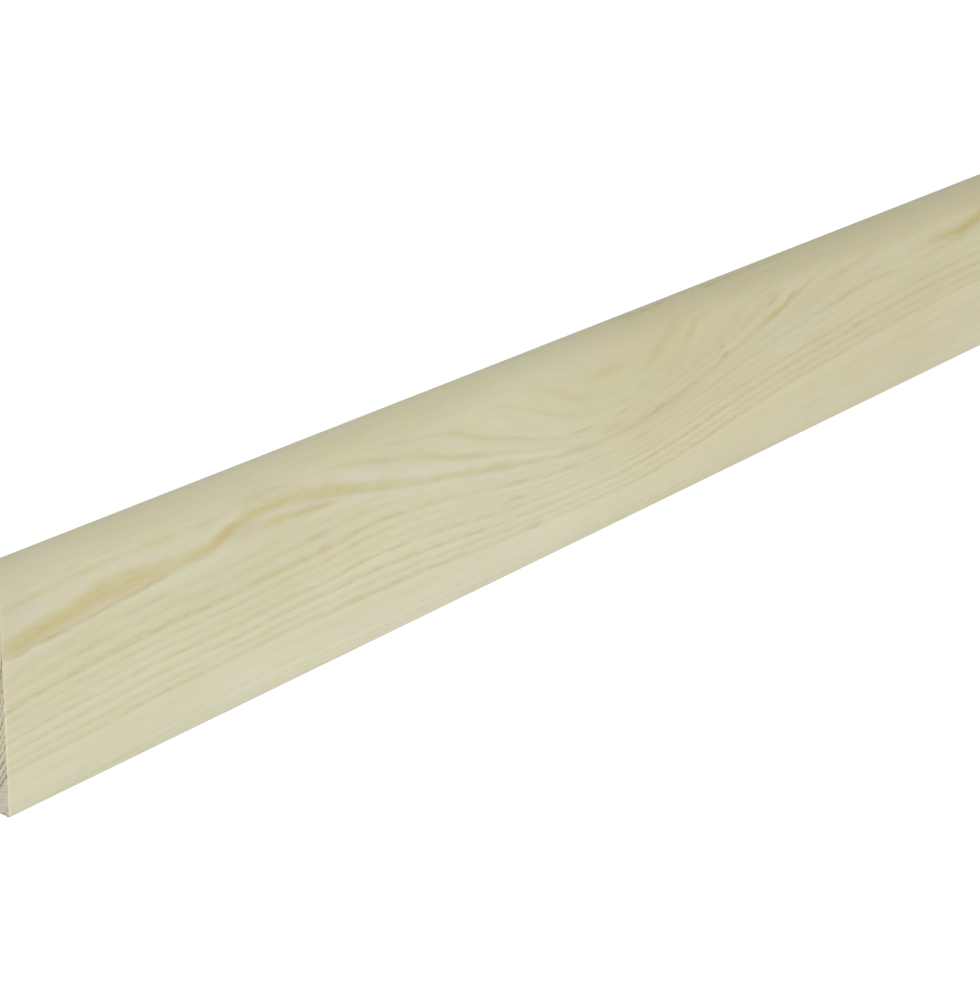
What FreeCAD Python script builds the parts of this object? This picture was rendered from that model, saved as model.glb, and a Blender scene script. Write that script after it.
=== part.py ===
import FreeCAD, Part

import os
from math import sqrt

# A length of rounded skirting board, planed from one piece of clear pine. The show face is flat and runs
# tangent into one large rounded edge, which is the top of the board once it is fitted to a wall. The back
# is flat, the other long corners are only eased, and both ends are sawn square.

# Frame, in millimetres. The origin is the centre of the back face, which the board lies on. X runs along
# the length, Y up the height of the fitted board towards its rounded edge, and Z out of the show face.

# Stock sizes
board_length = 2400.0
board_height = 69.0
board_thickness = 12.0

# Radius of the rounded top edge, which leaves a narrow flat along the top, against the wall
nose_radius = 9.0

# Eased long corners: the sharp one at the foot of the show face, and the two at the back
front_arris_radius = 0.8
back_arris_radius = 0.5


def section_corners():
    """The four corners of the section as (y, z, radius), going round from the foot of the show face."""
    foot = -board_height / 2
    top = board_height / 2
    nose = min(nose_radius, board_thickness - back_arris_radius)
    return [
        (foot, board_thickness, front_arris_radius),
        (top, board_thickness, nose),
        (top, 0.0, back_arris_radius),
        (foot, 0.0, back_arris_radius),
    ]


def rounded_outline(corners, x):
    """A closed wire in the plane at x, with each square corner turned by an arc of its own radius."""
    arcs = []
    for i, (y, z, radius) in enumerate(corners):
        corner = FreeCAD.Vector(x, y, z)
        before = FreeCAD.Vector(x, *corners[i - 1][:2])
        after = FreeCAD.Vector(x, *corners[(i + 1) % len(corners)][:2])
        back = (before - corner).normalize() * radius
        ahead = (after - corner).normalize() * radius
        middle = corner + (back + ahead) * (1 - sqrt(0.5))
        arcs.append(Part.Arc(corner + back, middle, corner + ahead))
    edges = []
    for i, arc in enumerate(arcs):
        following = arcs[(i + 1) % len(arcs)]
        edges.append(arc.toShape())
        edges.append(Part.LineSegment(arc.EndPoint, following.StartPoint).toShape())
    return Part.Wire(edges)


def make_skirting_board():
    """The planed section carried along the whole length between two square sawn ends."""
    outline = rounded_outline(section_corners(), -board_length / 2)
    return Part.Face(outline).extrude(FreeCAD.Vector(board_length, 0, 0))


os.makedirs("parts", exist_ok=True)
skirting_board = make_skirting_board()
skirting_board.exportStep("parts/skirting_board.step")

print("skirting_board valid:", skirting_board.isValid(), "solids:", len(skirting_board.Solids))
print("volume mm3:", round(skirting_board.Volume, 1), "box:", skirting_board.BoundBox)
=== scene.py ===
from math import atan, cos, pi, radians, sin, sqrt
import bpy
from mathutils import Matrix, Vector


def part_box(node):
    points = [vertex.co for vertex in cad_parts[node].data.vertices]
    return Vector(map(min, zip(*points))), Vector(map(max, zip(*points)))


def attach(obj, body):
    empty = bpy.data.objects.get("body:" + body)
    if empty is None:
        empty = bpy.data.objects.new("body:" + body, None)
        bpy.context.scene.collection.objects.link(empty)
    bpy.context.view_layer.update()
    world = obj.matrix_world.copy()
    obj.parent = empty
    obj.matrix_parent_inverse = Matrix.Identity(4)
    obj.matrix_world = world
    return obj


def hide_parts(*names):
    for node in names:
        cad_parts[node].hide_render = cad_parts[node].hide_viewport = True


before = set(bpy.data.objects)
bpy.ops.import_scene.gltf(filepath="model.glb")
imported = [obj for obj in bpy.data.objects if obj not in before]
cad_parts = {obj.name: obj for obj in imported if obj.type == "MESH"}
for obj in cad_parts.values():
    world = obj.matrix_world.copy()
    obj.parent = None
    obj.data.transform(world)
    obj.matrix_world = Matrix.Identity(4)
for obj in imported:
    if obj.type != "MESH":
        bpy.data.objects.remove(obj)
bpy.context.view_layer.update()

from types import SimpleNamespace

import bpy
from mathutils import Matrix, Vector, noise

mm = 0.001
low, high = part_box("skirting_board")
length, height, thickness = [side / mm for side in high - low]
print("skirting board", round(length), "x", round(height), "x", round(thickness), "mm")


def srgb(red, green, blue):
    # a colour as it looks on a screen, 0 to 255, turned into the linear one that shaders use
    shares = [channel / 255 for channel in (red, green, blue)]
    linear = [share / 12.92 if share < 0.0404 else ((share + 0.055) / 1.055) ** 2.4 for share in shares]
    return (*linear, 1.0)


curveSteps = 44  # evenly spaced points on each curve that is read along the board
seedStride = (7.3, 3.1, 5.7)  # how far one step of a seed moves the noise each way


def even(points, count=curveSteps):
    # evenly spaced points on a smooth line through the given ones
    slopes = []
    for i in range(len(points)):
        before, after = points[max(i - 1, 0)], points[min(i + 1, len(points) - 1)]
        slopes.append((after[1] - before[1]) / (after[0] - before[0]))
    spaced, i = [], 0
    for step in range(count + 1):
        x = points[0][0] + (points[-1][0] - points[0][0]) * step / count
        while i < len(points) - 2 and x > points[i + 1][0]:
            i += 1
        (x0, y0), (x1, y1) = points[i], points[i + 1]
        reach = x1 - x0
        t = (x - x0) / reach
        rise = slopes[i] * reach * (t - 2 * t ** 2 + t ** 3) + slopes[i + 1] * reach * (t ** 3 - t ** 2)
        spaced.append((x, y0 + (y1 - y0) * (3 * t ** 2 - 2 * t ** 3) + rise))
    return spaced


class Value:
    # one socket of a finish, so that shader maths reads as plain expressions
    def __init__(self, finish, socket):
        self.finish = finish
        self.socket = socket

    def __add__(self, other):
        return self.finish.sum("ADD", self, other)

    def __radd__(self, other):
        return self.finish.sum("ADD", other, self)

    def __sub__(self, other):
        return self.finish.sum("SUBTRACT", self, other)

    def __rsub__(self, other):
        return self.finish.sum("SUBTRACT", other, self)

    def __mul__(self, other):
        return self.finish.sum("MULTIPLY", self, other)

    def __rmul__(self, other):
        return self.finish.sum("MULTIPLY", other, self)

    def __truediv__(self, other):
        return self.finish.sum("DIVIDE", self, other)


class Finish:
    # one material; node() makes any node from its type, its settings and its sockets, and gives an output
    def __init__(self, name):
        self.material = bpy.data.materials.new(name)
        self.material.use_nodes = True
        self.tree = self.material.node_tree
        self.tree.nodes.clear()

    def node(self, kind, settings=None, sockets=None, out=0):
        made = self.tree.nodes.new(kind)
        for name, value in (settings or {}).items():
            if name == "points":
                self.placePoints(made.mapping, value, (settings or {}).get("handles", "AUTO"))
            elif name != "handles":
                setattr(made, name, value)
        for name, value in (sockets or {}).items():
            if isinstance(value, Value):
                self.tree.links.new(value.socket, made.inputs[name])
            else:
                made.inputs[name].default_value = value
        return Value(self, made.outputs[out]) if made.outputs else None

    def placePoints(self, mapping, points, handles):
        # a Float Curve's points, given as (input, output) pairs from the lowest input up
        curve = mapping.curves[0]
        mapping.use_clip = False
        while len(curve.points) < len(points):
            curve.points.new(0.5, 0.5)
        for spot, (x, y) in zip(curve.points, points):
            spot.location = (x, y)
            spot.handle_type = handles
        mapping.update()

    def sum(self, operation, *values):
        return self.node("ShaderNodeMath", {"operation": operation}, dict(enumerate(values)))

    def clamp(self, value):
        return self.node("ShaderNodeClamp", sockets={"Value": value})

    def blend(self, share, first, second):
        # two numbers, mixed
        return first + (second - first) * share

    def mix(self, share, first, second, way="MIX"):
        # two colours, mixed
        return self.node("ShaderNodeMix", {"data_type": "RGBA", "blend_type": way, "clamp_factor": True},
                         {"Factor": share, 6: first, 7: second}, 2)

    def step(self, value, start, end):
        # 0 below start, 1 above end and smooth between
        return self.node("ShaderNodeMapRange", {"interpolation_type": "SMOOTHSTEP"},
                         {"Value": value, "From Min": start, "From Max": end})

    def vector(self, x, y, z):
        return self.node("ShaderNodeCombineXYZ", sockets={"X": x, "Y": y, "Z": z})

    def curve(self, value, points, handles="AUTO"):
        # reads a curve of real sizes: the points are (size in, size out), and outside them it stays level
        lowIn, highIn = points[0][0], points[-1][0]
        lowOut = min(y for x, y in points)
        span = max(max(y for x, y in points) - lowOut, 0.0001)
        shares = [((x - lowIn) / (highIn - lowIn), (y - lowOut) / span) for x, y in points]
        share = self.clamp((value - lowIn) / (highIn - lowIn))
        read = self.node("ShaderNodeFloatCurve", {"points": shares, "handles": handles}, {"Value": share})
        return read * span + lowOut

    def longCurve(self, along, near, far):
        # two curves end to end, so that the near part of the board is read finely
        return self.curve(along, even(near)) + self.curve(along, even(far)) - far[0][1]

    def hills(self, x, y, z, size, seed, detail, rough):
        # noise from about -0.5 to 0.5, with its own size along each direction; the seed moves it elsewhere
        strideX, strideY, strideZ = seedStride
        spot = self.vector(x / size[0] + seed * strideX, y / size[1] + seed * strideY,
                           z / size[2] - seed * strideZ)
        return self.node("ShaderNodeTexNoise", None,
                         {"Vector": spot, "Scale": 1.0, "Detail": detail, "Roughness": rough}) - 0.5


# The camera, at the photograph's place about the board: it looks down on the show face from past the
# near end, rolled so that the board runs across the picture.
camera = {
    "location": (-1.58106, 0.32004, 0.47698),
    "lookAlong": (0.71536, -0.39701, -0.57501),
    "pictureUp": (0.28466, 0.91711, -0.27906),
    "lens": 94.37,  # mm, as is the long side of the sensor
    "sensor": 36,
    "clip": (0.02, 200),  # m
}


def makeCamera():
    made = bpy.data.objects.new("camera", bpy.data.cameras.new("camera"))
    made.data.sensor_width = camera["sensor"]
    made.data.lens = camera["lens"]
    made.data.clip_start, made.data.clip_end = camera["clip"]
    ahead = Vector(camera["lookAlong"]).normalized()
    right = ahead.cross(Vector(camera["pictureUp"])).normalized()
    turn = Matrix((right, right.cross(ahead), -ahead)).transposed()
    made.matrix_world = Matrix.Translation(camera["location"]) @ turn.to_4x4()
    bpy.context.scene.collection.objects.link(made)
    bpy.context.scene.camera = made


# The board's planed section and its mesh, in millimetres. Height is up the fitted board from its foot, and
# level is out from its back.
board = {
    "noseRadius": 9.0,
    "footArris": 0.8,
    "backArris": 0.5,
    "arcSteps": 6,  # facets round a small arris
    "noseSteps": 28,
    "faceStep": 2.5,  # between the rows across the flat of the face
    "edgeSteps": 10,  # across the thickness
    "closestRows": 0.02,
    "endStations": [0.0, 0.14, 0.3, 0.5, 1.2, 3.0, 7.0],  # distances from a sawn end
    "lengthStep": 12.0,  # between the stations along the rest
    "sawnEase": 0.22,  # how far the saw's sharp edges are rubbed back, and how much that varies
    "sawnRagged": 0.12,
    "raggedness": [(0.9, 1.0), (3.1, 0.6)],  # coarse and fine: waves to a millimetre, and strength
    "raggedSeeds": {"near": (11.0, 5.0), "far": (37.0, 23.0)},
    "coreDepth": 1.0,  # the eased edges draw in towards a core this far inside
    "crispAngle": 40,  # degrees: a sharper corner stays crisp
}


def frontLevel(y):
    # how far out the front of the section is at a height
    foot, nose = board["footArris"], board["noseRadius"]
    if y < foot:
        return thickness - foot + sqrt(max(foot ** 2 - (foot - y) ** 2, 0))
    into = y - (height - nose)
    if into > 0:
        return thickness - nose + sqrt(max(nose ** 2 - into ** 2, 0))
    return thickness


def backLevel(y):
    ease = board["backArris"]
    into = max(ease - y, y - (height - ease), 0)
    return ease - sqrt(max(ease ** 2 - into ** 2, 0))


def sectionHeights():
    # every height where the section needs a row: the facets of each rounded corner, and the flat between
    def arc(radius, steps):
        return [radius * (1 - cos(pi / 2 * i / steps)) for i in range(steps + 1)]

    foot, back, nose = board["footArris"], board["backArris"], board["noseRadius"]
    rows = arc(foot, board["arcSteps"]) + arc(back, board["arcSteps"])
    rows += [height - y for y in arc(nose, board["noseSteps"]) + arc(back, board["arcSteps"])]
    flat = height - nose - foot
    count = round(flat / board["faceStep"])
    rows += [foot + flat * i / count for i in range(1, count)]
    rows.sort()
    kept = [0.0]
    for y in rows:
        if kept[-1] + board["closestRows"] < y < height - board["closestRows"]:
            kept.append(y)
    return kept + [height]


def sectionOutline():
    # once round the section: along the foot edge, up the face, back across the top and down the back
    across = board["edgeSteps"]

    def spot(y, i):
        return y, backLevel(y) + (frontLevel(y) - backLevel(y)) * i / across

    foot, *between, top = sectionHeights()
    outline = [spot(foot, i) for i in range(across + 1)] + [spot(y, across) for y in between]
    outline += [spot(top, i) for i in range(across, -1, -1)] + [spot(y, 0) for y in reversed(between)]
    return outline


def stations():
    # places along the board: close together at the sawn ends, and even between
    near = board["endStations"]
    count = round((length - 2 * near[-1]) / board["lengthStep"])
    middle = [near[-1] + (length - 2 * near[-1]) * i / count for i in range(1, count)]
    return near + middle + [length - x for x in reversed(near)]


def inwardFrom(y, z):
    # the way into the wood from the outline: to the nose's centre, or else to a core a little way in
    nose, core = board["noseRadius"], board["coreDepth"]
    if y > height - nose and z > thickness - nose:
        return Vector((height - nose - y, thickness - nose - z)).normalized()
    inY = min(max(y, core), height - core)
    inZ = min(max(z, core), thickness - core)
    return Vector((inY - y, inZ - z)).normalized()


def eased(x, y, z):
    # near a sawn end the outline draws in a little, unevenly, where the saw's sharp edge is rubbed back
    seeds = board["raggedSeeds"]["near" if x < length / 2 else "far"]
    ragged = 0.0
    for (often, strength), seed in zip(board["raggedness"], seeds):
        ragged += strength * noise.noise(Vector((y * often, z * often, seed)))
    fromEnd = min(x, length - x)
    ease = board["sawnEase"] + board["sawnRagged"] * ragged
    ease *= max(0.0, 1 - fromEnd / board["sawnEase"] / 2)
    inward = inwardFrom(y, z)
    return y + inward.x * ease, z + inward.y * ease


def makeBoard(finish):
    outline, places = sectionOutline(), stations()
    points, faces = [], []
    for x in places:
        for y, z in outline:
            easedY, easedZ = eased(x, y, z)
            points.append((low.x + x * mm, low.y + easedY * mm, low.z + easedZ * mm))
    around = len(outline)
    for s in range(len(places) - 1):
        for k in range(around):
            a, b = s * around + k, s * around + (k + 1) % around
            faces.append((a, a + around, b + around, b))
    # each sawn end is one flat face, inside its eased outline
    nearEnd, farEnd = range(around), range(len(points) - around, len(points))
    faces += [tuple(nearEnd), tuple(reversed(farEnd))]
    mesh = bpy.data.meshes.new("rounded_skirting")
    mesh.from_pydata(points, [], faces)
    mesh.validate()
    mesh.update()
    for polygon in mesh.polygons:
        polygon.use_smooth = True
    mesh.set_sharp_from_angle(angle=radians(board["crispAngle"]))
    mesh.materials.append(finish.material)
    made = bpy.data.objects.new("rounded_skirting", mesh)
    bpy.context.scene.collection.objects.link(made)
    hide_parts("skirting_board")
    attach(made, "root")
    print("board mesh", len(points), "points", len(faces), "faces")
    return made


# The growth rings. They are shells about a pith that lies behind the board, so a ring shows on the face as
# a line, and where a shell only grazes the face, along its crest, as a broad band. Sizes in millimetres.
rings = {
    "curvature": 66,  # of the shells, at the depth of the board
    # the shells' distances and thicknesses are written for this curvature. Rounder shells lie wider apart,
    # so that their lines keep their heights on the face.
    "spacedFor": 112,
    "band": 0.14,  # shell of the broad band, measured out from the crest at rest
    "lowLine": 7.97,  # shell of the dark line low on the face
    # along the board: distance from the near end, height of the band, height of the low line
    "guides": [
        (0, 49, 13.5), (8, 50.4, 14.1), (20, 52.1, 14.5), (38, 54.8, 15.2), (57, 53.5, 16.3),
        (70, 53.6, 16.6), (79, 55.7, 16.8), (88, 58.8, 16.9), (105, 59.4, 17.6), (125, 56.1, 17.1),
        (150, 50.2, 16.5), (175, 45.2, 16), (200, 40.7, 14.4), (225, 36.1, 13.5), (245, 33.6, 13.2),
        (262, 33, 12.8), (278, 34.3, 13.1), (295, 37.1, 14.3), (315, 41.6, 16.5), (335, 47.5, 19.3),
        (353, 52.6, 21.5), (368, 57.3, 23.1), (385, 62.4, 24.5), (405, 65.3, 25.9), (430, 66.4, 28),
        (460, 66.4, 29.8), (490, 66.6, 30.7), (520, 66.7, 30.8),
    ],
    "farGuides": [
        (520, 66.7, 30.8), (600, 65.6, 30.2), (700, 62, 27), (800, 57, 22.5), (900, 51, 18),
        (1000, 47.5, 15.8), (1100, 50.5, 17.2), (1200, 56, 20.8), (1300, 60.5, 24.5), (1400, 61.5, 26),
        (1500, 56, 23.2), (1580, 46.5, 19.6), (1650, 42, 18.2), (1720, 46, 19.8), (1800, 54, 23.6),
        (1900, 58.5, 26.4), (2000, 60, 27.6), (2150, 56.5, 25.4), (2300, 52, 22.6), (2400, 50, 21.6),
    ],
    # the shells that end each year's growth: distance from the crest, how dark the line is along the grain,
    # how thick it is and how dark it is on a sawn end
    "shells": [
        (-7.8, 0.26, 0.35, 0.55), (-6.6, 0.22, 0.35, 0.55), (-5.4, 0.24, 0.35, 0.55),
        (-4.5, 0.2, 0.3, 0.55), (-3.6, 0.26, 0.3, 0.55), (-2.65, 0.32, 0.28, 0.55),
        (-1.85, 0.14, 0.22, 0.55), (-1.12, 0.36, 0.24, 0.5), (-0.53, 0.4, 0.18, 0.6),
        (0.14, 0.9, 0.1, 0.9), (0.76, 0.2, 0.2, 0.6), (1.296, 0.35, 0.26, 0.75),
        (2.18, 0.8, 0.3, 0.7), (2.94, 0.44, 0.26, 0.5), (3.72, 0.26, 0.3, 0.45),
        (4.64, 0.56, 0.32, 0.75), (5.8, 0.66, 0.365, 0.72), (6.96, 0.44, 0.4, 0.6),
        (8.06, 0.6, 0.5, 0.8), (9.9, 0.08, 0.6, 0.14), (12.5, 0.22, 0.4, 0.4),
        (13.7, 0.36, 0.36, 0.6), (14.5, 0.28, 0.3, 0.5), (15.3, 0.24, 0.3, 0.5),
        (16.6, 0.16, 0.4, 0.4), (18.4, 0.14, 0.4, 0.55), (20.6, 0.14, 0.4, 0.55),
        (23.2, 0.14, 0.4, 0.55),
    ],
    # the years between the band and the low line spread unevenly along the board: distance from the near
    # end, and how far they all lie outward
    "lean": [
        (0, 0.78), (10, 0.53), (20, 0.32), (40, 0.12), (60, 0.09), (80, 0.28), (100, 0.22),
        (120, -0.03), (140, -0.9), (155, -1.2), (175, -1.25), (200, -0.8), (240, -0.5), (280, -0.65),
        (320, -0.8), (345, -0.66), (365, -0.42), (385, -0.12), (410, 0.12), (435, 0.05), (470, 0),
        (520, 0),
    ],
    "farLean": [
        (520, 0), (760, 0.51), (1000, -0.34), (1250, 0.42), (1600, -0.51), (1950, 0.34),
        (2400, 0),
    ],
    "leanShare": [(0.24, 0), (2.04, 0.8), (3.39, 1), (5, 1), (6.5, 0.75), (9.3, 0)],
    # and the same for the older years, down to the low line
    "outerLean": [
        (0, 0.42), (20, 0.12), (40, 0), (60, 0.05), (80, 0.22), (100, 0.24), (120, 0), (140, -0.44),
        (155, -0.46), (170, -0.26), (185, -0.16), (200, -0.18), (240, -0.28), (265, -0.34), (280, -0.46),
        (300, -0.62), (315, -0.64), (330, -0.55), (360, -0.38), (400, -0.22), (450, -0.08), (520, 0),
    ],
    "farOuterLean": [
        (520, 0), (760, 0.35), (1000, -0.25), (1250, 0.28), (1600, -0.35), (1950, 0.25), (2400, 0),
    ],
    "outerShare": [(6.5, 0), (9.3, 1), (11.8, 0.7), (13.58, 0)],
    # how clearly the lines show along the board: the years just below the band, the older ones, and the
    # ones inside the band
    "clearUpper": [
        (0, 0.9), (60, 1), (140, 1), (160, 0.6), (180, 0.28), (198, 0.3), (210, 0.48), (245, 0.42),
        (270, 0.25), (300, 0.3), (330, 0.6), (375, 0.65), (395, 0.5), (415, 0.3), (440, 0.25), (470, 0.4),
        (520, 0.45),
    ],
    "clearLower": [
        (0, 0.95), (60, 0.95), (170, 1), (210, 0.75), (250, 0.7), (290, 1), (340, 0.95), (420, 0.75),
        (520, 0.7),
    ],
    "clearInner": [
        (0, 0), (150, 0), (200, 0.15), (225, 0.5), (260, 0.6), (330, 0.6), (350, 0.8), (362, 0.3),
        (380, 0.2), (520, 0.25),
    ],
    "farInner": [(520, 0.25), (800, 0.5), (1000, 1), (1400, 0.5), (1700, 0.9), (2400, 0.6)],
    "farUpper": [(520, 0.6), (800, 0.9), (1000, 1), (1200, 0.8), (1500, 0.5), (1700, 0.8), (2400, 1)],
    "farLower": [(520, 0.55), (700, 0.8), (1000, 1), (1300, 0.7), (1600, 0.9), (2000, 0.7), (2400, 1)],
}


def spaced(distance):
    # a distance between shells at their real curvature, to a hundredth of a millimetre
    return round(distance * rings["spacedFor"] / rings["curvature"], 2)


bandShell, lowLineShell = spaced(rings["band"]), spaced(rings["lowLine"])


# The broad honey-coloured band along one ring. Across it, distances are counted in its own half height.
broadBand = {
    # distance from the near end, how far above its ring it lies, half its height in mm and how strong it is
    "spread": [
        (0, 0.8, 2.1, 0.6), (10, 0.6, 2.3, 0.8), (20, 0.5, 2.4, 0.9), (28, 0.4, 2.4, 0.65),
        (37, 0.3, 2.8, 0.85), (50, 0.5, 2.1, 0.62), (66, 0.7, 1.7, 0.52), (75, 0.2, 1.7, 0.76),
        (80, 0, 2, 0.88), (86, 0.2, 1.4, 0.36), (94, 0.3, 1.7, 0.72), (104, 0.5, 1.8, 0.66),
        (120, 0, 1.8, 0.56), (133, 0, 1.7, 0.6), (150, 0, 1.3, 0.55), (175, 0, 1, 0.52),
        (186, 0, 0.9, 0.56), (203, 0, 1.1, 0.6), (220, 0, 0.7, 0.42), (236, 0.3, 0.9, 0.55),
        (260, 0.5, 0.8, 0.48), (285, 0.3, 0.7, 0.52), (305, 0.2, 0.6, 0.45), (320, 0, 0.7, 0.4),
        (335, 0, 1, 0.38), (345, 0, 1.1, 0.4), (360, 0, 1.2, 0.8), (370, 0, 0.9, 0.5),
        (380, 0, 0.7, 0.25), (420, 0, 0.7, 0.06), (520, 0, 0.7, 0.06),
    ],
    "farSpread": [
        (520, 0, 0.7, 0.06), (700, 0, 0.9, 0.4), (850, 0, 1.2, 0.5), (1000, 0, 2, 0.7),
        (1150, 0, 1.3, 0.5), (1350, 0, 0.9, 0.4), (1600, 0, 1.7, 0.6), (1800, 0, 1.1, 0.45),
        (2000, 0, 0.9, 0.4), (2200, 0, 1.6, 0.55), (2400, 0, 2.2, 0.7),
    ],
    "body": [
        (-1.7, 0), (-1.25, 0.25), (-0.8, 0.8), (-0.3, 1), (0.3, 0.85), (1, 0.4), (1.8, 0.08), (2.3, 0),
    ],
    "ragged": {"fibre": 1.4, "thread": 0.6, "fray": 1.8},  # mm
    "share": 0.85,
    "patchy": {"thread": 0.7, "mottle": 1.8},
    "wideColours": (srgb(194, 184, 122), srgb(202, 186, 142)),  # honey and tan, where the band is wide
    "thinColours": (srgb(192, 188, 136), srgb(198, 183, 144)),  # and past it, where it is thin
    "thinFrom": (95, 150),
    "tanWhere": (3, 0.25, 0.2),  # by the fray, less of it towards the top, and everywhere
    "edge": [(-1.9, 0), (-1.4, 0.6), (-1.05, 1), (-0.6, 0.3), (0, 0)],  # its darker lower edge
    "edgeColour": srgb(190, 176, 134),
    "edgeShare": 0.25,
    "haloFrom": 1.2,
    "halo": [(0, 0), (0.9, 0.9), (2, 0.8), (4.5, 0)],  # clear pale wood so many mm beyond it
    "haloColour": srgb(212, 209, 187),
}

# Veins: lines of deeper colour that swell and fade along the face. Each is given by the distance from the
# near end, the height up the face and on over the nose, how far it spreads to either side, and how strong.
veinSteps = 30
veinShape = [(-2.2, 0), (-1, 0.45), (0, 1), (1, 0.45), (2.2, 0)]
veinRagged = 0.5  # against the band's
veins = {
    "line above the band": {"colour": srgb(190, 186, 138), "path": [
        (-20, 59.5, 0.6, 0.4), (0, 60.6, 0.9, 0.3), (10, 61.5, 1, 0.5), (19, 62.1, 0.7, 0.2),
        (33, 62.4, 0.8, 0.38), (43, 62.7, 0.6, 0.15), (56, 62.5, 0.9, 0.38), (67, 62.4, 0.6, 0.1),
        (74, 62.3, 0.8, 0.32), (84, 62.6, 0.6, 0.06), (120, 63.4, 0.5, 0.15), (134, 61.8, 0.9, 0.38),
        (147, 58.9, 0.9, 0.42), (157, 56.3, 0.7, 0.18), (164, 55.2, 0.9, 0.45), (173, 52, 0.9, 0.54),
        (185, 48.6, 0.9, 0.54), (197, 46, 0.7, 0.38), (206, 44, 0.6, 0.3), (216, 41.6, 0.6, 0.25),
        (235, 37.8, 0.6, 0)]},
    "second line": {"colour": srgb(190, 186, 150), "path": [
        (140, 63.9, 0.6, 0), (157, 62, 0.9, 0.32), (167, 60.7, 0.7, 0.26), (173, 59.6, 0.8, 0.3),
        (180, 58, 1, 0.42), (187, 55, 1, 0.38), (197, 51.2, 0.8, 0.42), (204, 49.4, 0.6, 0.45),
        (213, 46.6, 0.6, 0.45), (220, 44.4, 0.6, 0.4), (233, 41.3, 0.6, 0.32), (245, 40.2, 0.6, 0.32),
        (255, 39.2, 0.6, 0)]},
    "third line": {"colour": srgb(193, 188, 148), "path": [
        (188, 62.5, 0.7, 0), (205, 59.8, 0.8, 0.25), (213, 56.6, 0.8, 0.3), (220, 53.5, 0.8, 0.3),
        (227, 51.2, 0.6, 0.25), (240, 47.6, 0.5, 0.2), (252, 44.9, 0.5, 0)]},
    "fourth line": {"colour": srgb(196, 190, 146), "path": [
        (214, 63.5, 1, 0), (221, 60.8, 1.3, 0.28), (228, 57.6, 1.7, 0.36), (235, 55, 1.7, 0.36),
        (242, 52.6, 1.2, 0.18), (252, 50, 1, 0)]},
    "line at the middle far along": {"colour": srgb(180, 173, 140), "path": [
        (392, 46.8, 0.8, 0), (402, 48.4, 0.9, 0.2), (412, 49.6, 0.8, 0.25), (424, 50.1, 0.8, 0.3),
        (436, 50, 0.8, 0.28), (446, 49.6, 0.8, 0.1), (458, 49.2, 0.8, 0)]},
    "low line far along": {"colour": srgb(188, 181, 146), "path": [
        (330, 15, 0.9, 0), (380, 17.4, 0.9, 0.12), (420, 19.3, 1, 0.18), (460, 21, 1.1, 0.26),
        (500, 22.2, 1.1, 0.26), (560, 22.8, 1, 0.15), (640, 21.5, 1, 0)]},
    "end streak": {"colour": srgb(194, 179, 122), "path": [
        (446, 58, 0.6, 0), (456, 57.2, 0.9, 0.22), (465, 56.6, 1.4, 0.45), (476, 56.1, 1.6, 0.55),
        (484, 55.6, 2.1, 0.8), (491, 56.6, 2.3, 0.8), (498, 58.2, 2.6, 0.8), (508, 60, 2.4, 0.6),
        (525, 61.4, 2, 0.25), (550, 62, 1.5, 0)]},
}

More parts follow.
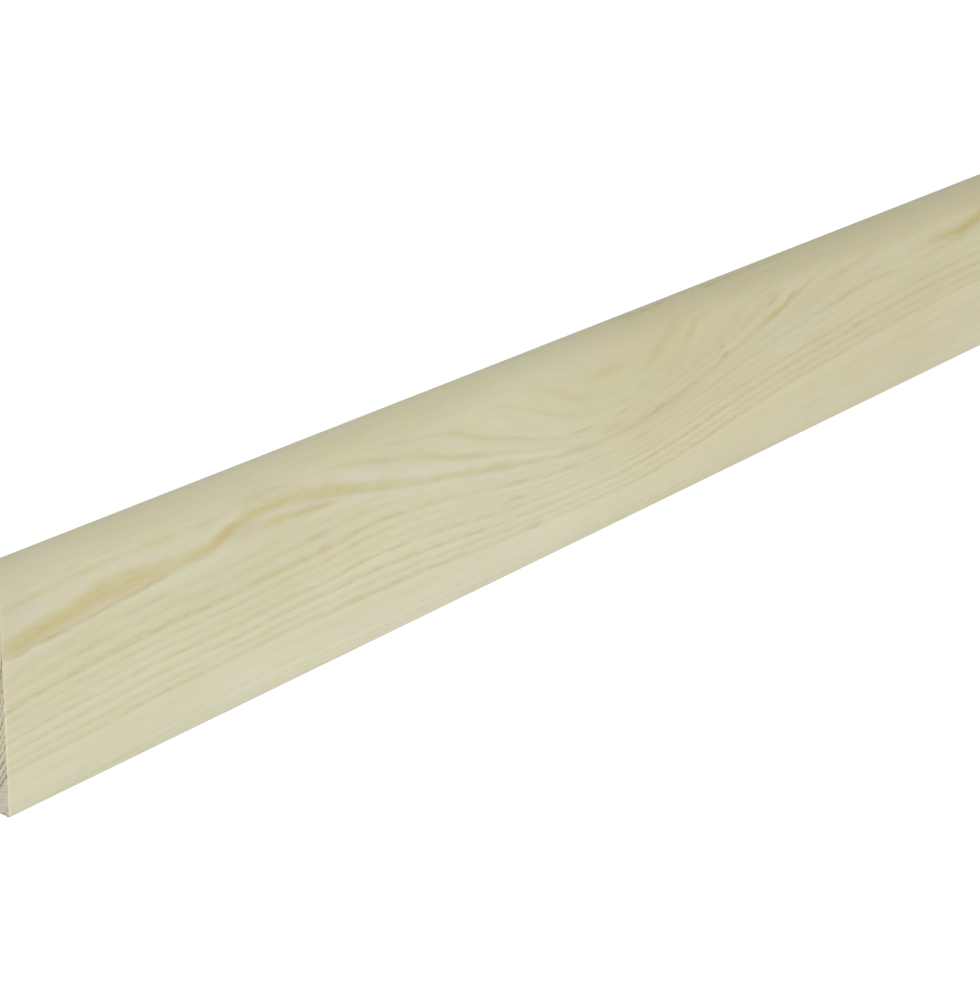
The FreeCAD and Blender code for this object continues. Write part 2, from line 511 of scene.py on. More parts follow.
# Short marks in the grain: distance from the near end, height, half length, half height, rise per length,
# strength, and colour as on a screen.
tan, olive, paleCream = (190, 172, 134), (172, 164, 118), (212, 209, 190)
brown = (180, 165, 122)
amber, yellow, dusk = (196, 182, 134), (190, 186, 134), (176, 168, 136)
markReach = 1.9  # a mark is half as strong at its half length and half height, and ends this many times out
marks = [
    (6, 48.4, 7, 1.2, 0.085, 0.45, (194, 184, 130)),
    (8, 47, 5, 0.5, 0.085, 0.4, brown),  # dashes of the band's dark lower edge, at the near end
    (17, 47.8, 4, 0.6, 0.085, 0.65, brown),
    (26, 48.5, 4, 0.45, 0.085, 0.4, brown),
    (35, 49.4, 5, 0.6, 0.085, 0.5, (182, 172, 122)),
    (46, 50.3, 5, 0.6, 0.085, 0.55, (184, 174, 120)),
    (54, 51, 4, 0.6, 0.085, 0.6, brown),
    (68, 51.4, 8, 0.6, 0.085, 0.3, yellow),
    (47, 52.2, 8, 1.3, 0.03, 0.4, (200, 186, 146)),
    (30, 49.2, 24, 0.9, 0.085, 0.45, (198, 185, 138)),
    (22, 50, 16, 1.2, 0.085, 0.45, (198, 188, 146)),
    (34, 51.2, 9, 1.2, 0.06, 0.5, (207, 194, 166)),
    (80, 56.5, 4, 1.7, 0.25, 0.75, (194, 178, 112)),  # the band's deepest spot
    (89, 55.2, 6.5, 2.7, 0, 0.7, (198, 188, 156)),  # dusky wood between the band and the short streak
    (101, 54.2, 5, 1.4, -0.05, 0.66, (197, 187, 136)),  # short streak under the band
    (110, 53.7, 5, 1.1, -0.06, 0.68, (194, 188, 136)),
    (119, 52.7, 6, 1, -0.09, 0.7, (194, 180, 132)),
    (111, 56, 9, 1.2, -0.2, 0.5, (205, 195, 173)),  # and the rosy wood over it
    (98, 63.8, 13, 2, 0, 0.32, (196, 187, 151)),
    (14, 57, 12, 2.4, 0.02, 0.35, paleCream),  # clear pale wood on both sides of the band
    (75, 50.2, 16, 1.5, 0.02, 0.4, paleCream),
    (9, 64.4, 3, 0.5, 0.06, 0.14, dusk),  # faint dashes on the start of the rounded edge
    (25, 64.8, 3, 0.5, 0.06, 0.18, dusk),
    (36, 65.1, 3, 0.5, 0.06, 0.12, dusk),
    (45, 65.2, 2.5, 0.5, 0, 0.1, dusk),
    (85, 65.4, 2, 0.5, 0, 0.12, dusk),
    (97, 66, 3, 0.6, 0, 0.18, dusk),
    (100, 64, 4, 0.5, 0, 0.14, dusk),
    (113, 66.2, 2.5, 0.5, 0, 0.15, dusk),
    (122, 65.6, 2.5, 0.5, 0, 0.15, dusk),
    (125, 50.4, 12, 1.3, -0.01, 0.5, paleCream),
    (137, 57.2, 7, 2.8, -0.3, 0.9, paleCream),
    (158, 52.4, 8, 1.8, -0.4, 0.7, paleCream),
    (182, 53.6, 7, 1.6, -0.4, 0.45, paleCream),
    (92, 63.6, 5, 1.3, 0.1, 0.35, yellow),
    (262, 36.3, 6, 1.2, 0, 0.45, yellow),
    (435, 57, 40, 3.5, 0.06, 0.45, paleCream),
    (470, 8, 45, 6, 0.12, 0.25, (186, 178, 148)),  # a broad dull patch low on the face
    (201, 54, 4, 2.2, -0.5, 0.5, paleCream),  # clear pale patches in the figure and over the edge
    (166, 58.6, 7, 1.6, -0.35, 0.4, paleCream),
    (262, 67, 34, 3.5, 0, 0.4, (213, 207, 184)),
    (460, 67, 38, 2.5, 0, 0.5, (215, 209, 184)),
    (362, 40, 22, 8, 0.3, 0.35, paleCream),
    (2, 61, 14, 7, 0, 0.3, (198, 191, 164)),  # and a duller one by the near end
    (302, 38.6, 15, 2.6, 0.25, 0.32, (196, 188, 152)),
    (286, 35.2, 24, 2.6, 0.12, 0.3, (193, 185, 148)),
    (286, 35.9, 4, 0.8, 0.2, 0.45, (184, 176, 120)),
    (54, 45.7, 4, 0.6, 0.05, 0.5, (178, 176, 144)),  # grey and yellow dashes in the plainer wood
    (44, 45, 4, 0.5, 0.05, 0.28, (178, 176, 144)),
    (62, 42.7, 6, 1, -0.05, 0.32, (198, 190, 146)),
    (31, 41.6, 2.5, 2, 0, 0.28, (198, 193, 146)),
    (97, 18, 2.5, 1.6, 0, 0.35, (196, 190, 138)),
    (118, 43.6, 4, 0.9, 0, 0.35, (182, 182, 152)),
    (121, 38.8, 2.5, 1.2, 0, 0.4, (198, 181, 148)),
    (136, 17.3, 4, 0.9, -0.05, 0.45, (192, 186, 134)),
    (212, 26.6, 4, 0.8, -0.15, 0.4, (181, 170, 140)),
    (207, 25.6, 3, 1.6, 0, 0.35, (196, 192, 144)),
    (212, 32, 5, 0.8, -0.18, 0.3, (183, 172, 145)),
    (239, 29.6, 5, 0.6, -0.05, 0.3, (178, 171, 142)),
    (224, 19.8, 5, 1, -0.05, 0.38, (194, 190, 142)),
    (221, 14.6, 4, 1.8, 0, 0.32, (196, 181, 156)),
    (221, 13.6, 3, 0.5, -0.1, 0.35, brown),
    (244, 40.4, 4, 0.6, -0.08, 0.35, (176, 172, 144)),
    (267, 41, 3.5, 0.5, 0.15, 0.35, dusk),
    (278, 29.4, 4, 1, 0.1, 0.32, (190, 178, 150)),
    (413, 34.7, 3, 0.7, 0.05, 0.35, (186, 166, 140)),
    (402, 48.2, 4, 0.8, 0.05, 0.4, (190, 184, 132)),
    (398, 58.4, 6, 1.2, 0.12, 0.45, (188, 185, 134)),
    (412, 60.6, 6, 0.8, 0.1, 0.3, (188, 182, 146)),
    (419, 54.6, 8, 0.9, 0.05, 0.3, (196, 184, 162)),
    (386, 10.4, 5, 0.6, 0.15, 0.28, (180, 176, 150)),
    (477, 53.4, 6, 0.8, -0.25, 0.4, (208, 186, 148)),  # rosy wood under the end streak
    (497, 53.2, 4, 1.2, 0, 0.45, (202, 198, 182)),
    (234, 38.2, 12, 1.8, -0.25, 0.25, (196, 188, 152)),
    (478, 52.4, 18, 1, 0.08, 0.35, (192, 180, 146)),
    (385, 17.6, 18, 2.6, 0.1, 0.3, (196, 196, 160)),
    (361, 59, 3, 1.2, 0.5, 0.7, paleCream),
    (364, 57.2, 2.8, 1.3, 0.62, 0.8, yellow),  # bright fleck on the rising band
    (353, 58.5, 3.2, 0.8, 0.48, 0.5, dusk),  # little dark line beside it
    (325, 45.4, 2, 1, 0.2, 0.6, tan),
    (322.5, 49.2, 1.3, 0.7, 0.5, 0.6, dusk),
    (256, 57.6, 8, 1.6, 0.05, 0.3, amber),  # warm flecks in the hollow of the figure
    (284, 57.6, 5, 3, 0.75, 0.32, amber),
    (293, 63.4, 4, 4, 0.75, 0.3, amber),
    (303, 59.6, 3, 3.6, 1.3, 0.32, (190, 182, 134)),
    (296, 50, 6, 1.6, 0.5, 0.2, amber),
    (272, 64, 32, 6, 0.02, 0.08, amber),
    (296, 74.6, 2.2, 0.6, 0, 0.5, (138, 134, 98)),  # flecks along the top edge
    (287, 73.4, 4, 0.6, 0.02, 0.35, (176, 168, 98)),
    (325, 73.6, 4.5, 0.5, 0.05, 0.5, olive),
    (345, 74, 25, 1, 0, 0.22, olive),
    (280, 74.6, 7, 0.8, 0, 0.45, (184, 176, 112)),
]


# How the colour drifts: along the board and up it, the shares of red, green and blue.
# along the board: darker and less blue past about 215 mm, lighter again towards 1400 mm, a little darker at
# the far end
toneAlong = [
    (0, 1, 1, 1), (215, 1, 1, 1), (250, 0.985, 0.978, 0.96), (290, 0.95, 0.93, 0.88),
    (400, 0.935, 0.915, 0.87), (520, 0.925, 0.905, 0.86),
]
farToneAlong = [
    (520, 0.925, 0.905, 0.86), (900, 0.95, 0.935, 0.89), (1400, 1, 1, 1),
    (2400, 0.97, 0.965, 0.94),
]
# up the board: a painted bluish sheen at the foot arris, the wood's own paler band low on the face and
# warmer wood by the broad band, and painted shade darkening the top of the rounded edge and its top flat
# from 72 mm
toneAndShadeUp = [
    (0, 1, 1.008, 1.045), (2, 1.01, 1.015, 1.055), (5, 1.05, 1.055, 1.11), (9, 1.055, 1.058, 1.1),
    (14, 1.045, 1.038, 1.05), (20, 1.045, 1.038, 1.045), (27, 1.03, 1.02, 1.02), (34, 1.012, 0.998, 0.975),
    (48, 1.003, 0.997, 0.985), (54, 0.985, 0.975, 0.925), (60, 0.985, 0.972, 0.94), (65, 1, 0.99, 0.96),
    (70, 1, 0.992, 0.945), (72.5, 0.98, 0.97, 0.92), (73.8, 0.955, 0.95, 0.915),
    (74.8, 0.91, 0.915, 0.9), (80, 0.9, 0.905, 0.89),
]


# The grain's unevenness, as noise: its size along the board, up it and into it in millimetres, which part of
# the field it is, how many finer layers it has and how strong each of those is.
unevenness = {
    "wander": ((55, 12, 12), 1, 2.0, 0.5),  # all the grain strays, in long, middling and short waves
    "shiver": ((14, 4, 4), 2, 2.0, 0.5),
    "quiver": ((5, 1.6, 1.6), 15, 1.0, 0.5),
    "patch": ((60, 7, 7), 4, 3.0, 0.5),  # where the lines show better or worse
    "thread": ((7, 0.35, 0.35), 6, 2.0, 0.6),  # hair-fine fibres, and coarser ones
    "fibre": ((26, 0.8, 0.8), 5, 3.0, 0.6),
    "dash": ((5, 0.9, 0.9), 12, 2.0, 0.6),  # the lines' breaks
    "fray": ((6, 1.3, 1.3), 16, 2.0, 0.6),  # the ragged outlines of the band and the veins
    "mottle": ((9, 1.8, 1.8), 17, 2.0, 0.6),
    "cloud": ((90, 18, 18), 7, 2.0, 0.5),  # broad changes of colour
    "blotch": ((9, 3, 3), 9, 2.0, 0.6),  # small rosy ones, and greenish ones
    "bloom": ((10, 3, 3), 10, 2.0, 0.6),
    "fleck": ((6, 1.1, 1.1), 11, 2.0, 0.6),
    "streak": ((32, 1.8, 1.8), 13, 2.0, 0.55),
    "wash": ((16, 3.5, 3.5), 14, 2.0, 0.5),
    "score": ((4, 0.5, 9), 8, 2.0, 0.6),  # the saw's scores across a sawn end
}


def uneven(pine, grain, name, up=None):
    # one kind of unevenness at a point, from about -0.5 to 0.5
    return pine.hills(grain.along, grain.up if up is None else up, grain.deep, *unevenness[name])


def gather(grain, shares, total=None):
    # adds up some of what is known about a point, each by its share
    for name, share in shares.items():
        part = getattr(grain, name) * share
        total = part if total is None else total + part
    return total


def readAlong(pine, grain, near, far, column):
    # one column of two tables, the near part of the board's and the rest's, read along the board
    return pine.longCurve(grain.along, [(row[0], row[column]) for row in near],
                          [(row[0], row[column]) for row in far])


def placeOnBoard(pine):
    # where a point of the wood lies, in millimetres: along the board, up it, into it from the face and over
    # the nose; and how much it belongs to a sawn end, or to the eased edge round one, which gets a painted
    # highlight
    here = pine.node("ShaderNodeTexCoord", out="Object")
    apart = pine.node("ShaderNodeSeparateXYZ", sockets={"Vector": here})
    x, y, z = [Value(pine, apart.socket.node.outputs[axis]) for axis in "XYZ"]
    grain = SimpleNamespace(along=(x - low.x) / mm, up=(y - low.y) / mm, deep=(high.z - z) / mm)
    fromEnd = pine.sum("MINIMUM", grain.along, length - grain.along)
    grain.sawn = pine.step(fromEnd, *sawnEnd["reach"])
    grain.rim = pine.step(fromEnd, *sawnEnd["highlightRimReach"]) * (1.0 - grain.sawn)
    nose = height - board["noseRadius"]
    turn = pine.sum("ARCTAN2", pine.sum("MAXIMUM", grain.up - nose, 0.0), board["noseRadius"] - grain.deep)
    grain.over = pine.sum("MINIMUM", grain.up, nose) + turn * board["noseRadius"]
    return grain


def dropOverNose(along):
    # a length measured up the face and on over the nose, as (height, depth below the face)
    into = along - (height - board["noseRadius"])
    if into <= 0:
        return along, 0.0
    angle = into / board["noseRadius"]
    return height - board["noseRadius"] * (1 - sin(angle)), board["noseRadius"] * (1 - cos(angle))


def heartAndSwell(guides):
    # where the shells' crest runs, and how far it rises, so that the band and the low line pass their guides
    heart, swell = [], []
    for x, bandAt, lineAt in guides:
        bandHeight, drop = dropOverNose(bandAt)
        between = 2 * rings["curvature"] * (lowLineShell - bandShell - drop)
        crest = (between / (bandHeight - lineAt) + bandHeight + lineAt) / 2
        heart.append((x, crest))
        swell.append((x, (crest - lineAt) ** 2 / (2 * rings["curvature"]) - lowLineShell))
    return heart, swell


def findShell(pine, grain):
    # the shell that a point lies on, counted out from the crest, after the drift that all the grain shares
    wander, shiver, quiver = [uneven(pine, grain, name) * share for name, share in lines["drift"].items()]
    start, end, share = lines["settled"]
    settled = pine.blend(pine.step(grain.along, start, end), share, 1.0)
    grain.drift = wander * settled + shiver * settled + quiver
    grain.strayed = grain.up + grain.drift
    nearHeart, nearSwell = heartAndSwell(rings["guides"])
    farHeart, farSwell = heartAndSwell(rings["farGuides"])
    heart = pine.longCurve(grain.along, nearHeart, farHeart)
    swell = pine.longCurve(grain.along, nearSwell, farSwell)
    offCrest = heart - grain.strayed
    shell = offCrest * offCrest / (2 * rings["curvature"]) - swell - grain.deep
    lean = pine.longCurve(grain.along, rings["lean"], rings["farLean"])
    lean = lean * pine.curve(shell, rings["leanShare"])
    outerLean = pine.longCurve(grain.along, rings["outerLean"], rings["farOuterLean"])
    lean = lean + outerLean * pine.curve(shell, rings["outerShare"])
    grain.shell = shell - lean


# How the lines show. Across a line, distances are counted in its own thickness.
lines = {
    "drift": {"wander": 1.8, "shiver": 1.0, "quiver": 0.35},  # mm
    "settled": (500, 620, 0.3),  # mm along: up to here the guides are full, so it strays only by this share
    # before a line the wood darkens slowly, past it that ends sharply, and the next wood is clear and pale
    "before": [(0, 1.0), (0.42, 0.85), (0.85, 0.48), (1.3, 0.2), (2.0, 0.08), (2.6, 0.0)],
    "past": [(0, 1.0), (0.22, 0.78), (0.52, 0.2), (0.8, 0.0)],
    "pale": [(0, 0.0), (0.5, 0.0), (1.1, 1.0), (2.0, 0.7), (4.0, 0.0)],
    "patchy": (-0.3, 0.2, 0.55),  # the noise at a patch's edges, and a line's strength outside one
    "breaks": {"thread": 2.4, "dash": 4.0},
    "onNose": (1, 6, 0.5),  # mm past the flat of the face, where a line fades, and by how much
    "bandDepth": (9.0, 11.0),  # mm behind the face, where the band turns into a plain line
    "lowerFrom": (5.1, 7.1),  # shells, where the older years begin
    "innerBelow": (0.5, 0.17),  # and where the years inside the band begin
}


def drawLines(pine, grain):
    # which year it is, how far it is from the shells on either side, and so how dark it is
    places, tones, thicks, endTones = zip(*rings["shells"])
    places, thicks = [spaced(place) for place in places], [spaced(thick) for thick in thicks]
    gaps = [(i, places[i + 1] - places[i]) for i in range(len(places) - 1)]
    year = pine.curve(grain.shell, [(place, i) for i, place in enumerate(places)], "VECTOR")
    ring = pine.sum("FLOOR", year)
    season = year - ring
    width = pine.curve(ring, gaps, "VECTOR")
    grain.onFace = pine.blend(grain.sawn, 1.0 - pine.step(grain.deep, *lines["bandDepth"]), 0.0)

    def ofRing(which, values):
        return pine.curve(which, list(enumerate(values)), "VECTOR")

    def toneOf(which):
        # the band's own line is left out on the face, where the band itself shows
        isBand = pine.sum("COMPARE", which, float(places.index(bandShell)), 0.5)
        flat = ofRing(which, tones) * (1.0 - isBand * grain.onFace)
        return pine.blend(grain.sawn, flat, ofRing(which, endTones))

    outerTone = toneOf(ring + 1)
    innerTone = toneOf(ring)
    before = (1.0 - season) * width / ofRing(ring + 1, thicks)
    past = season * width / ofRing(ring, thicks)
    rise = pine.curve(before, lines["before"])
    fall = pine.curve(past, lines["past"])
    grain.pale = pine.curve(past, lines["pale"]) * innerTone
    patchFrom, patchTo, plainShare = lines["patchy"]
    patch = pine.step(uneven(pine, grain, "patch"), patchFrom, patchTo)
    grain.thread = uneven(pine, grain, "thread", grain.strayed)
    grain.fibre = uneven(pine, grain, "fibre", grain.strayed)
    line = pine.clamp(rise * outerTone + fall * innerTone)
    nose = height - board["noseRadius"]
    noseFrom, noseTo, noseShare = lines["onNose"]
    grain.onNose = pine.step(grain.over, nose + noseFrom, nose + noseTo) * (1.0 - grain.sawn)
    clearUpper = pine.longCurve(grain.along, rings["clearUpper"], rings["farUpper"])
    clearLower = pine.longCurve(grain.along, rings["clearLower"], rings["farLower"])
    clear = pine.blend(pine.step(grain.shell, *lines["lowerFrom"]), clearUpper, clearLower)
    clearInner = pine.longCurve(grain.along, rings["clearInner"], rings["farInner"])
    clear = pine.blend(pine.step(grain.shell, *lines["innerBelow"]) * grain.onFace, clear, clearInner)
    grain.dash = uneven(pine, grain, "dash", grain.strayed)
    broken = line * pine.blend(patch, plainShare, 1.0) * gather(grain, lines["breaks"], 1.0)
    line = pine.clamp(broken * (1.0 - grain.onNose * noseShare))
    grain.line = pine.blend(grain.sawn, line * clear, line)


def drawBand(pine, grain):
    # the broad band, with its darker lower edge and the clear pale wood beside it
    near, far = broadBand["spread"], broadBand["farSpread"]
    bandHeight = readAlong(pine, grain, rings["guides"], rings["farGuides"], 1)
    bandHeight = bandHeight + readAlong(pine, grain, near, far, 1)
    reach = readAlong(pine, grain, near, far, 2)
    tone = readAlong(pine, grain, near, far, 3)
    grain.fray = uneven(pine, grain, "fray")
    grain.ragged = gather(grain, broadBand["ragged"])
    off = (grain.over + grain.drift + grain.ragged - bandHeight) / reach
    body = pine.curve(off, broadBand["body"])
    grain.bandEdge = pine.curve(off, broadBand["edge"]) * tone * grain.onFace
    beyond = (pine.sum("ABSOLUTE", off) - broadBand["haloFrom"]) * reach
    grain.halo = pine.curve(beyond, broadBand["halo"]) * tone * grain.onFace
    grain.mottle = uneven(pine, grain, "mottle")
    grain.band = body * tone * grain.onFace * gather(grain, broadBand["patchy"], broadBand["share"])
    tanFray, tanUp, tanShare = broadBand["tanWhere"]
    tanHere = pine.clamp(grain.fray * tanFray - off * tanUp + tanShare)
    wide = pine.mix(tanHere, *broadBand["wideColours"])
    thin = pine.mix(tanHere, *broadBand["thinColours"])
    grain.bandColour = pine.mix(pine.step(grain.along, *broadBand["thinFrom"]), wide, thin)


def veinHere(pine, grain, path):
    # how strongly a vein shows at a point
    at, reach, tone = [pine.curve(grain.along, even([(row[0], row[column]) for row in path], veinSteps))
                       for column in (1, 2, 3)]
    across = (grain.over + grain.ragged * veinRagged - at) / reach
    return pine.curve(across, veinShape) * tone


def markHere(pine, grain, at, up, halfLength, halfHeight, rise, tone):
    # how strongly a short mark shows: it fades outward in an ellipse along the grain. Its place is in the
    # texture's own mapping, because more nodes would be too much for the renderer.
    blot = pine.node("ShaderNodeTexGradient", {"gradient_type": "SPHERICAL"}, {"Vector": grain.onSurface}, 1)
    place = blot.socket.node.texture_mapping
    place.vector_type = "TEXTURE"
    stretch = sqrt(1 + rise ** 2)
    place.translation = (at, up, 0)
    place.rotation = (0, 0, atan(rise))
    place.scale = (halfLength * stretch * markReach, halfHeight / stretch * markReach, 1)
    return pine.step(blot, 0, 1) * tone


# The planed wood's colours.
wood = {
    "early": (srgb(206, 202, 168), srgb(210, 206, 174)),  # the pale wood between the lines, in clouds
    "earlyClouds": (-0.2, 0.2),
    "rosy": srgb(212, 203, 180),
    "rosyShare": (3.0, 0.1),  # contrast and evenness
    "greenish": srgb(202, 205, 169),
    "greenishShare": 2.7,
    "palest": srgb(212, 209, 183),
    "palestShare": 0.6,
    "summer": (srgb(185, 180, 146), srgb(188, 182, 134)),  # the lines, cool and warm
    "summerShare": 0.78,
    "warmth": [(0, 1.0), (150, 1.0), (190, 0.3), (320, 0.3), (420, 0.6), (520, 0.5)],  # mm along, and share
    "farWarmth": [(520, 0.5), (900, 1.0), (1400, 0.4), (2400, 0.9)],
    "lightness": 0.885,
    "lightnessSway": {"fibre": 0.08, "thread": 0.06, "fleck": 0.05, "cloud": 0.05, "streak": 0.05},
    "blueSway": {"fibre": 0.04, "streak": 0.08, "wash": 0.1},
    "streakHeight": 280.0,  # mm, any fixed one, so that a streak is the same from foot to top
    "noseShade": (180, 420, 0.06),  # mm along, where the rounded edge grows darker, and by how much
    # painted sheen: a bluish tint on the eased foot arris, where it catches the light
    "arris": (1.7, 0.6),  # mm up and in from the foot corner, where the eased arris begins and is full
    "arrisSheenTint": (0.985, 0.995, 1.07, 1.0),
    # painted highlight: a cream line along the eased edge round a sawn end, where it catches the light
    "paintedRimHighlight": srgb(224, 217, 194),  # the bright edge round a sawn end
    "paintedRimHighlightShare": 0.3,
    "paintedRimHighlightUp": (40, 26, 0.35),  # mm up, where it grows faint, and how much is left
}


def plainWood(pine, grain):
    # the pale wood between the lines, the lines and the band
    grain.cloud = uneven(pine, grain, "cloud")
    blotch = uneven(pine, grain, "blotch")
    bloom = uneven(pine, grain, "bloom")
    contrast, evenness = wood["rosyShare"]
    early = pine.mix(pine.step(grain.cloud, *wood["earlyClouds"]), *wood["early"])
    early = pine.mix(pine.clamp(blotch * contrast + evenness), early, wood["rosy"])
    early = pine.mix(pine.clamp(bloom * wood["greenishShare"]), early, wood["greenish"])
    early = pine.mix(grain.pale * wood["palestShare"], early, wood["palest"])
    early = pine.mix(pine.clamp(grain.halo), early, broadBand["haloColour"])
    warmth = pine.longCurve(grain.along, wood["warmth"], wood["farWarmth"])
    summer = pine.mix(warmth, *wood["summer"])
    colour = pine.mix(grain.line * wood["summerShare"], early, summer)
    colour = pine.mix(grain.band, colour, grain.bandColour)
    return pine.mix(grain.bandEdge * broadBand["edgeShare"], colour, broadBand["edgeColour"])


def figuredWood(pine, grain, colour):
    # the veins and the short marks, over the plain wood of the face
    marked = colour
    for vein in veins.values():
        marked = pine.mix(veinHere(pine, grain, vein["path"]), marked, vein["colour"])
    for *mark, hue in marks:
        marked = pine.mix(markHere(pine, grain, *mark), marked, srgb(*hue))
    return pine.mix(grain.onFace, colour, marked)


def shadedWood(pine, grain, colour):
    # the colour's fine sway and its drift along the board and up it, with painted shade on the top of the
    # rounded edge and a painted bluish sheen on the foot arris, then the painted highlight on the eased
    # edges round the sawn ends
    grain.fleck = uneven(pine, grain, "fleck")
    grain.streak = uneven(pine, grain, "streak", wood["streakHeight"])
    grain.wash = uneven(pine, grain, "wash")
    light = gather(grain, wood["lightnessSway"], 1.0) * wood["lightness"]
    start, end, share = wood["noseShade"]
    light = light * (1.0 - grain.onNose * pine.step(grain.along, start, end) * share)
    blueSway = gather(grain, wood["blueSway"], 1.0)
    shares = []
    for channel in (1, 2, 3):
        lengthwise = readAlong(pine, grain, toneAlong, farToneAlong, channel)
        upward = pine.curve(grain.over, [(row[0], row[channel]) for row in toneAndShadeUp])
        shares.append(lengthwise * upward * light)
    red, green, blue = shares
    colour = pine.mix(1.0, colour, pine.vector(red, green, blue * blueSway), "MULTIPLY")
    # painted bluish sheen on the foot arris
    arris = pine.step(grain.up + grain.deep, *wood["arris"]) * (1.0 - grain.sawn)
    colour = pine.mix(arris, colour, pine.mix(1.0, colour, wood["arrisSheenTint"], "MULTIPLY"))
    # painted highlight along the eased edge round each sawn end, fainter higher up
    start, end, share = wood["paintedRimHighlightUp"]
    fade = pine.clamp(wood["paintedRimHighlightShare"] + grain.fray)
    paintedRimHighlight = grain.rim * fade * pine.blend(pine.step(grain.up, start, end), share, 1.0)
    return pine.mix(paintedRimHighlight, colour, wood["paintedRimHighlight"])


# The sawn ends: the same rings seen along the fibres, darker and greyer, with the saw's slanting scores.
sawnEnd = {
    "reach": (0.05, 0.01),  # mm from an end, where its wood begins and is full
    # how far from an end the painted highlight on the eased edge reaches
    "highlightRimReach": (0.55, 0.1),
    "scoreSlant": 0.35,
    "early": (srgb(190, 182, 157), srgb(209, 200, 176)),  # in a score and beside it
    "earlyScored": 1.4,
    "foot": (srgb(177, 168, 151), srgb(200, 193, 176)),
    "footScored": 2.2,
    "footUp": (13.0, 8.0, 0.8),  # mm up, where the greyer foot begins and is full, and its share
    "stain": srgb(170, 149, 122),
    "stainReach": (0.8, 0.3, 0.55),  # mm from the band's shell, and share
    "line": srgb(126, 114, 86),
    "lineSharpness": 1.3,
    "lineStrength": 1.35,
    "lineScored": 0.8,
    "splinters": srgb(114, 106, 92),
    "splintersUp": (1.4, 0.2),
    "splintersFrayed": (5.0, 0.55),
}


def sawnWood(pine, grain):
    slanting = grain.up + grain.deep * sawnEnd["scoreSlant"]
    grain.score = uneven(pine, grain, "score", slanting)
    early = pine.mix(pine.clamp(grain.score * sawnEnd["earlyScored"] + 0.5), *sawnEnd["early"])
    foot = pine.mix(pine.clamp(grain.score * sawnEnd["footScored"] + 0.5), *sawnEnd["foot"])
    start, end, share = sawnEnd["footUp"]
    early = pine.mix(pine.step(grain.up, start, end) * share, early, foot)
    fromBand = pine.sum("ABSOLUTE", grain.shell - bandShell)
    start, end, share = sawnEnd["stainReach"]
    early = pine.mix(pine.step(fromBand, start, end) * share, early, sawnEnd["stain"])
    sharp = pine.sum("POWER", grain.line, sawnEnd["lineSharpness"])
    line = pine.clamp(sharp * (sawnEnd["lineStrength"] + grain.score * sawnEnd["lineScored"]))
    colour = pine.mix(line, early, sawnEnd["line"])
    contrast, evenness = sawnEnd["splintersFrayed"]
    splinters = pine.step(grain.up, *sawnEnd["splintersUp"]) * pine.clamp(grain.fray * contrast + evenness)
    return pine.mix(splinters, colour, sawnEnd["splinters"])


# What the finger feels: the lines stand a little proud, the fibres are fine grooves, the planer's knives
# leave a faint ripple, and the sawn ends keep the saw's scores.
surface = {
    "strength": 0.35,
    "depth": 0.00006,  # m
    "planed": {"line": 0.6, "fibre": 0.5, "thread": 0.5, "ripple": 0.02},
    "rippleStep": 1.9,  # mm
    "sawn": {"score": 1.6, "line": 0.8},
    "roughness": 0.58,
    "lineRoughness": 0.08,
    "fibreRoughness": 0.1,
    "sawnRoughness": 0.8,
    "specular": 0.35,
}


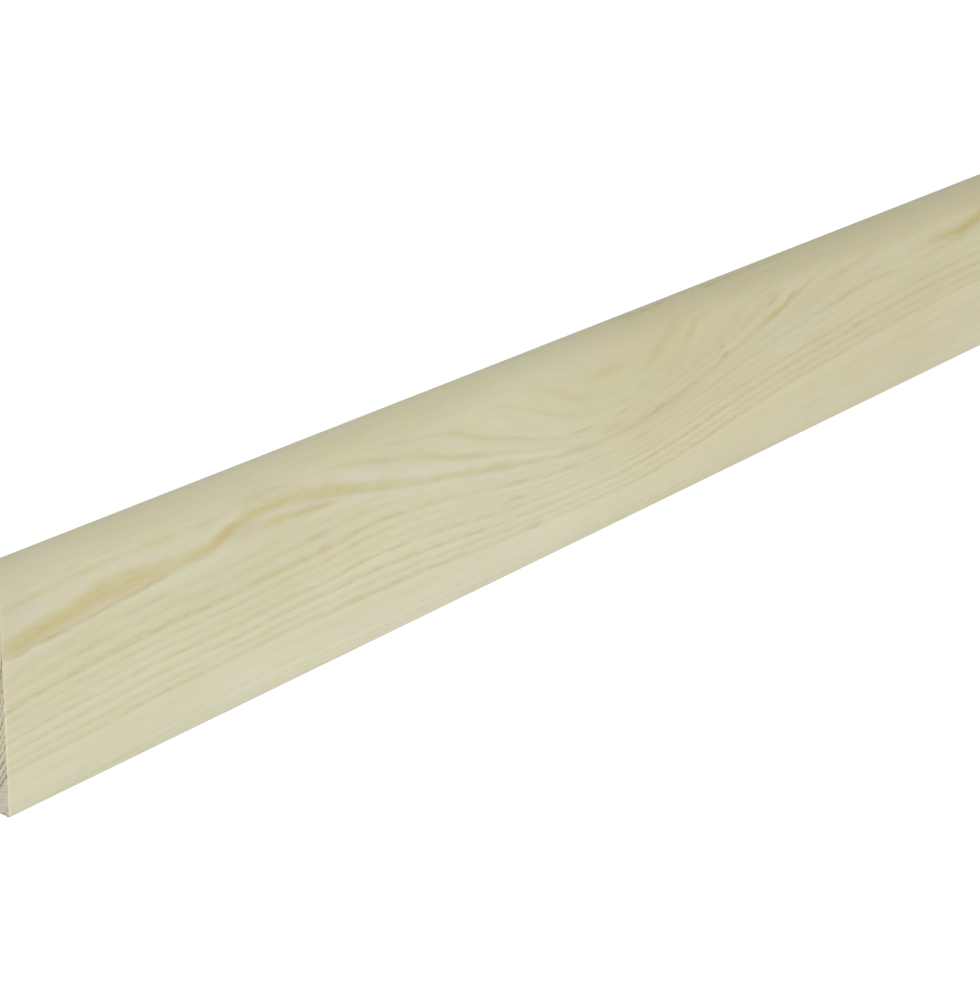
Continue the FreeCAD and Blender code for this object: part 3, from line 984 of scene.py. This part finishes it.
def pineFinish():
    pine = Finish("planed_pine")
    grain = placeOnBoard(pine)
    findShell(pine, grain)
    drawLines(pine, grain)
    drawBand(pine, grain)
    grain.onSurface = pine.vector(grain.along, grain.over + grain.ragged, 0.0)
    colour = plainWood(pine, grain)
    colour = figuredWood(pine, grain, colour)
    colour = shadedWood(pine, grain, colour)
    colour = pine.mix(grain.sawn, colour, sawnWood(pine, grain))
    grain.ripple = pine.sum("SINE", grain.along * (2 * pi / surface["rippleStep"]))
    planed = gather(grain, surface["planed"])
    sawn = gather(grain, surface["sawn"])
    relief = pine.blend(grain.sawn, planed, sawn)
    bumped = pine.node("ShaderNodeBump", None, {
        "Strength": surface["strength"], "Distance": surface["depth"], "Height": relief})
    rough = surface["roughness"] - grain.line * surface["lineRoughness"]
    rough = rough + grain.fibre * surface["fibreRoughness"]
    rough = pine.blend(grain.sawn, rough, surface["sawnRoughness"])
    shader = pine.node("ShaderNodeBsdfPrincipled", None, {
        "Base Color": colour, "Roughness": rough, "Normal": bumped,
        "Specular IOR Level": surface["specular"]})
    pine.node("ShaderNodeOutputMaterial", None, {"Surface": shader})
    print("pine finish", len(pine.tree.nodes), "nodes")
    return pine


# A plain pale floor, and soft light from overhead and from all round.
studio = {
    "floorHalf": 40.0,  # m
    "floorGap": 0.00002,  # m, so that the board's back and the floor don't share a plane
    "floorColour": (0.3, 0.3, 0.3, 1.0),
    "floorGlow": 0.8,  # the floor is lit from below, so that it stays white right up to the board
    "domeStrength": 0.684,
    "keyStrength": 1.43,
    "keyAngle": 50,  # degrees across, for soft shadows
    "keyFrom": (-0.25, -0.1, 1.0),
}


def makeStudio():
    scene = bpy.context.scene
    scene.view_settings.view_transform = "Standard"
    half = studio["floorHalf"]
    mesh = bpy.data.meshes.new("floor")
    corners = [(-half, -half, 0), (half, -half, 0), (half, half, 0), (-half, half, 0)]
    mesh.from_pydata(corners, [], [(0, 1, 2, 3)])
    floor = bpy.data.objects.new("floor", mesh)
    floor.location.z = low.z - studio["floorGap"]
    scene.collection.objects.link(floor)
    paper = Finish("pale_floor")
    shader = paper.node("ShaderNodeBsdfPrincipled", None, {
        "Base Color": studio["floorColour"], "Roughness": 0.95, "Specular IOR Level": 0.0,
        "Emission Color": (1.0, 1.0, 1.0, 1.0), "Emission Strength": studio["floorGlow"]})
    paper.node("ShaderNodeOutputMaterial", None, {"Surface": shader})
    mesh.materials.append(paper.material)

    world = bpy.data.worlds.new("dome")
    scene.world = world
    world.use_nodes = True
    sky = world.node_tree.nodes["Background"]
    sky.inputs["Color"].default_value = (1, 1, 1, 1)
    sky.inputs["Strength"].default_value = studio["domeStrength"]

    key = bpy.data.objects.new("key", bpy.data.lights.new("key", "SUN"))
    key.data.energy = studio["keyStrength"]
    key.data.angle = radians(studio["keyAngle"])
    key.rotation_mode = "QUATERNION"
    key.rotation_quaternion = Vector(studio["keyFrom"]).to_track_quat("Z", "Y")
    scene.collection.objects.link(key)


makeStudio()
makeCamera()
print("studio and camera ready")
makeBoard(pineFinish())
